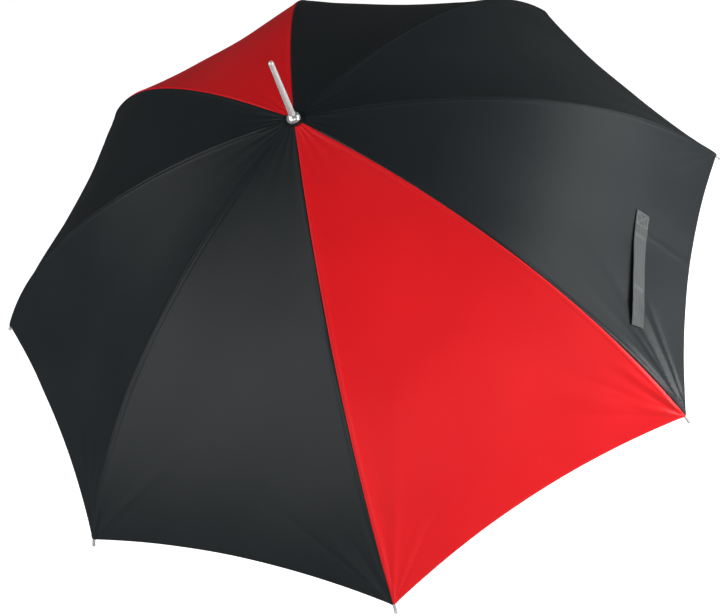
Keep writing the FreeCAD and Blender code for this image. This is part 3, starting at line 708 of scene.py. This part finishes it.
def strap_lift(length, width):
    """How far the strap stands off the cloth: flat at its ends, and its inner edge loose."""
    down = np.clip(0.5 - length / STRAP_LENGTH, 0, 1)
    free = np.interp(down, [0.0, 0.10, 0.35, 0.60, 0.80, 0.92, 1.0],
                     [0.0, 0.12, 0.50, 0.86, 1.0, 0.62, 0.15])
    edge = np.clip(1 - width / STRAP_WIDTH, 0, 1)
    wave = 1 + 0.10 * np.sin(length * 75.0 + 0.6)
    return STRAP_LIFT + STRAP_LOOSE_LIFT * free * edge**1.5 * wave


def strap_points(length, width, extra=0.0):
    """Points of the strap, length from its middle and width from its inner edge."""
    row = (STRAP_LOW_ROW + STRAP_HIGH_ROW) / 2 + width - STRAP_WIDTH / 2
    row = row + (STRAP_HIGH_ROW - STRAP_LOW_ROW) * length / STRAP_LENGTH
    points, normals = on_cloth(STRAP_OFFSET + length, row, STRAP_PANEL)
    return points + normals * (strap_lift(length, width) + extra)[..., None]


def build_strap():
    """The tie strap's webbing with its stitches, laid across its panel."""
    middle = rib_angle(STRAP_PANEL) + HALF_PITCH
    lengths, widths = np.meshgrid(np.linspace(-0.5, 0.5, 86) * STRAP_LENGTH,
                                  np.linspace(0, 1, 13) * STRAP_WIDTH)
    # Its lower end is cut on a slant.
    slant = np.clip(widths / STRAP_WIDTH, 0, 1) * STRAP_SLANT
    lengths = lengths + slant * np.clip(-lengths / (STRAP_LENGTH / 2), 0, 1) ** 6
    points = turned(strap_points(lengths, widths), middle)
    flat = np.stack([lengths, widths], -1)
    strap = grid_piece("tie_strap_webbing", points, None, flat, "webbing")
    thicken(strap, STRAP_THICKNESS, 1.0)
    stitches = outline_piece("tie_strap_stitches", fill_stitches, "webbing", "sewing_thread")
    for piece in (strap, stitches):
        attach(piece, f"canopy_hem_{STRAP_PANEL}")
        gather(piece)
    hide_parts("tie_strap")


def stitch_lines():
    """Start and end of each row of stitches, as (length, width) on the strap."""
    inset, end = STITCH_INSET, STRAP_LENGTH / 2
    wide = STRAP_WIDTH - inset
    box_low, box_high = end - STITCH_BOX, end - inset
    yield (box_low, inset), (box_high, inset)
    yield (box_low, wide), (box_high, wide)
    yield (box_low, inset), (box_low, wide)
    yield (box_high, inset), (box_high, wide)
    yield (box_low, inset), (box_high, wide)
    yield (box_low, wide), (box_high, inset)
    for row in STITCH_ROWS:
        yield (end - row, inset), (end - row, wide)


def fill_stitches(work):
    """Short raised thread stitches with gaps between them."""
    middle = rib_angle(STRAP_PANEL) + HALF_PITCH
    above = STRAP_THICKNESS + 0.05 * MM
    radii = [STITCH_THICK * 0.45, STITCH_THICK, STITCH_THICK * 0.45]
    for start, end in stitch_lines():
        start, end = np.array(start), np.array(end)
        run = float(np.linalg.norm(end - start))
        way = (end - start) / run
        for number in range(int(run / STITCH_PITCH)):
            centre = start + way * (number + 0.5) * STITCH_PITCH
            reach = way * STITCH_LONG / 2
            spots = np.array([centre - reach, centre, centre + reach])
            path = strap_points(spots[:, 0], spots[:, 1], extra=above)
            tube(work, turned(path, middle), radii, 6)


def bridge(work, rings):
    """Faces between each ring of vertices and the next."""
    for first, second in zip(rings, rings[1:]):
        for part in range(len(first)):
            after = (part + 1) % len(first)
            work.faces.new((first[part], first[after], second[after], second[part]))


def tube(work, path, radii, sides):
    """A closed tube along a short path."""
    path = [Vector(point) for point in path]
    ahead = (path[-1] - path[0]).normalized()
    left = ahead.orthogonal().normalized()
    up = ahead.cross(left)
    angles = [2 * math.pi * part / sides for part in range(sides)]
    rings = []
    for point, radius in zip(path, radii):
        rings.append([work.verts.new(point + (left * math.cos(a) + up * math.sin(a)) * radius)
                      for a in angles])
    bridge(work, rings)
    work.faces.new(list(reversed(rings[0])))
    work.faces.new(rings[-1])


build_strap()


# --- Crown and grip ----------------------------------------------------------------------


ROSETTE_HOLE, ROSETTE_CLOTH, ROSETTE_RAGGED = 7.45 * MM, 0.45 * MM, 0.55 * MM


def build_rosette():
    """A small ruffled cloth disc under the cap, with a cut edge that is not quite round."""
    low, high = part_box("rosette")
    outer = (high.x - low.x) / 2
    angles = np.linspace(0, 2 * math.pi, 97)[:-1]
    share, angle = np.meshgrid(np.linspace(0, 1, 9), angles, indexing="ij")
    edge = (0.5 * np.sin(3 * angle + 0.4) + 0.35 * np.sin(7 * angle + 1.9)
            + 0.2 * np.sin(13 * angle))
    radius = ROSETTE_HOLE + (outer - ROSETTE_HOLE + ROSETTE_RAGGED * edge) * share
    # It slopes down to its rim, which lifts a little and is ruffled.
    ruffle = 0.55 * np.sin(8 * angle + 0.5) + 0.3 * np.sin(13 * angle + 2.0)
    height = high.z - ROSETTE_CLOTH - (high.z - low.z - 0.7 * MM) * share
    height = height + (0.45 + ruffle * 0.5) * MM * share**2
    points = np.stack([radius * np.cos(angle), radius * np.sin(angle), height], -1)
    flat = np.stack([angle * outer, radius], -1)
    disc = grid_piece("rosette_cloth", points, None, flat, "rosette", closed=True)
    thicken(disc, ROSETTE_CLOTH, 0.0)
    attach(disc, "shaft")
    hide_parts("rosette")


GRIP_BORE, GRIP_SIDES = 7.1 * MM, 96
GRIP_GROOVES, GRIP_GROOVE_TOP, GRIP_GROOVE_PITCH = 5, 34 * MM, 7 * MM
# In millimetres: height from a groove's middle and depth, then the grip's foot and neck as how
# far in from its full radius and how far from that end.
GROOVE = ((2.2, 0), (1.5, 0.12), (1.0, 0.7), (0.4, 1.05), (-0.4, 1.05), (-1.0, 0.7),
          (-1.5, 0.12), (-2.2, 0))
GRIP_FOOT = ((1.0, 0), (0.25, 0.35), (0, 1.2))
GRIP_NECK = ((0, 25), (0.7, 16), (2.1, 8), (3.0, 3.5), (4.2, 1.1), (5.6, 0))


def build_grip():
    """A turned foam grip, with shallow rings near its neck and rounded edges."""
    low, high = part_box("grip")
    radius = (high.x - low.x) / 2
    outline = [(GRIP_BORE, low.z)]
    outline += [(radius - step_in * MM, low.z + up * MM) for step_in, up in GRIP_FOOT]
    for groove in reversed(range(GRIP_GROOVES)):
        centre = high.z - GRIP_GROOVE_TOP - groove * GRIP_GROOVE_PITCH
        outline += [(radius - depth * MM, centre + up * MM) for up, depth in reversed(GROOVE)]
    outline += [(radius - step_in * MM, high.z - down * MM) for step_in, down in GRIP_NECK]
    outline += [(GRIP_BORE, high.z)]
    angles = [2 * math.pi * part / GRIP_SIDES for part in range(GRIP_SIDES)]

    def fill(work):
        rings = [[work.verts.new((distance * math.cos(a), distance * math.sin(a), height))
                  for a in angles] for distance, height in outline]
        bridge(work, rings + rings[:1])

    grip = outline_piece("grip_foam", fill, "grip")
    grip.data.set_sharp_from_angle(angle=math.radians(60))
    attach(grip, "shaft")
    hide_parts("grip")


build_rosette()
build_grip()


# --- Floor, light and camera -------------------------------------------------------------


def build_floor():
    """A plain pale studio floor under the grip's foot, bright enough to look white."""
    bpy.ops.mesh.primitive_circle_add(vertices=96, radius=7.0, fill_type="NGON",
                                      location=(0, 0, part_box("grip_end_cap")[0].z))
    floor = bpy.context.object
    floor.name = "studio_floor"
    pale = Finish("studio_floor", (0.85, 0.85, 0.85), 0.85, Specular_IOR_Level=0.1,
                  Emission_Color=(1, 1, 1, 1), Emission_Strength=0.62)
    here = pale.place()
    pale.wear(pale.spread(pale.noise(here, 3.0), 0.3, 0.7, 0.8, 0.9))
    floor.data.materials.append(pale.material)
    # Its mirror image on the cloth would be too bright.
    floor.visible_glossy = False


# Each softbox: where it stands, its width and height in metres, and its power in watts.
LIGHT_TARGET = Vector((0, 0, 0.6))
SOFTBOXES = {
    "right_low_softbox": ((1.15, -1.15, 0.75), (0.6, 0.5), 24),
    "right_softbox": ((1.6, -0.5, 1.3), (0.8, 0.7), 11),
    "front_softbox": ((-0.3, -3.2, 2.6), (2.4, 1.8), 20),
    "front_left_softbox": ((-2.4, -2.0, 2.6), (2.0, 2.0), 22),
    "left_low_softbox": ((-3.0, -0.9, 1.8), (2.0, 1.6), 16),
    "left_softbox": ((-2.9, -0.3, 3.4), (2.2, 2.2), 58),
    "back_left_softbox": ((-2.0, 1.2, 3.6), (2.4, 2.4), 48),
}


def light_studio():
    """White softboxes, and a white surround that only the camera sees."""
    for name, (place, size, power) in SOFTBOXES.items():
        light = bpy.data.lights.new(name, "AREA")
        light.shape, light.size, light.size_y = "RECTANGLE", *size
        light.energy = power
        lamp = bpy.data.objects.new(name, light)
        lamp.location = place
        way = LIGHT_TARGET - Vector(place)
        lamp.rotation_euler = way.to_track_quat("-Z", "Y").to_euler()
        lamp.visible_camera = False
        bpy.context.scene.collection.objects.link(lamp)
    world = bpy.data.worlds.new("studio")
    world.use_nodes = True
    background = world.node_tree.nodes["Background"]
    background.inputs["Color"].default_value = (1, 1, 1, 1)
    background.inputs["Strength"].default_value = 0.9
    # The world belongs to the scene before it is hidden from reflections and from the cloth.
    bpy.context.scene.world = world
    world.cycles_visibility.glossy = False
    world.cycles_visibility.diffuse = False


def place_camera():
    """The photograph's angle: above and in front, with the crown left of the middle."""
    right = Vector((0.8498, -0.4723, -0.2341))
    up = Vector((0.5175, 0.6631, 0.5408))
    place = Vector((-0.2104, -1.0899, CROWN + 1.0109))
    camera = bpy.data.cameras.new("camera")
    camera.lens, camera.sensor_width = 48.35, 36.0
    holder = bpy.data.objects.new("camera", camera)
    turn = Matrix((right, up, right.cross(up))).transposed().to_4x4()
    holder.matrix_world = Matrix.Translation(place) @ turn
    bpy.context.scene.collection.objects.link(holder)
    bpy.context.scene.camera = holder


build_floor()
light_studio()
place_camera()
bpy.context.scene.view_settings.view_transform = "Standard"

bpy.context.view_layer.update()
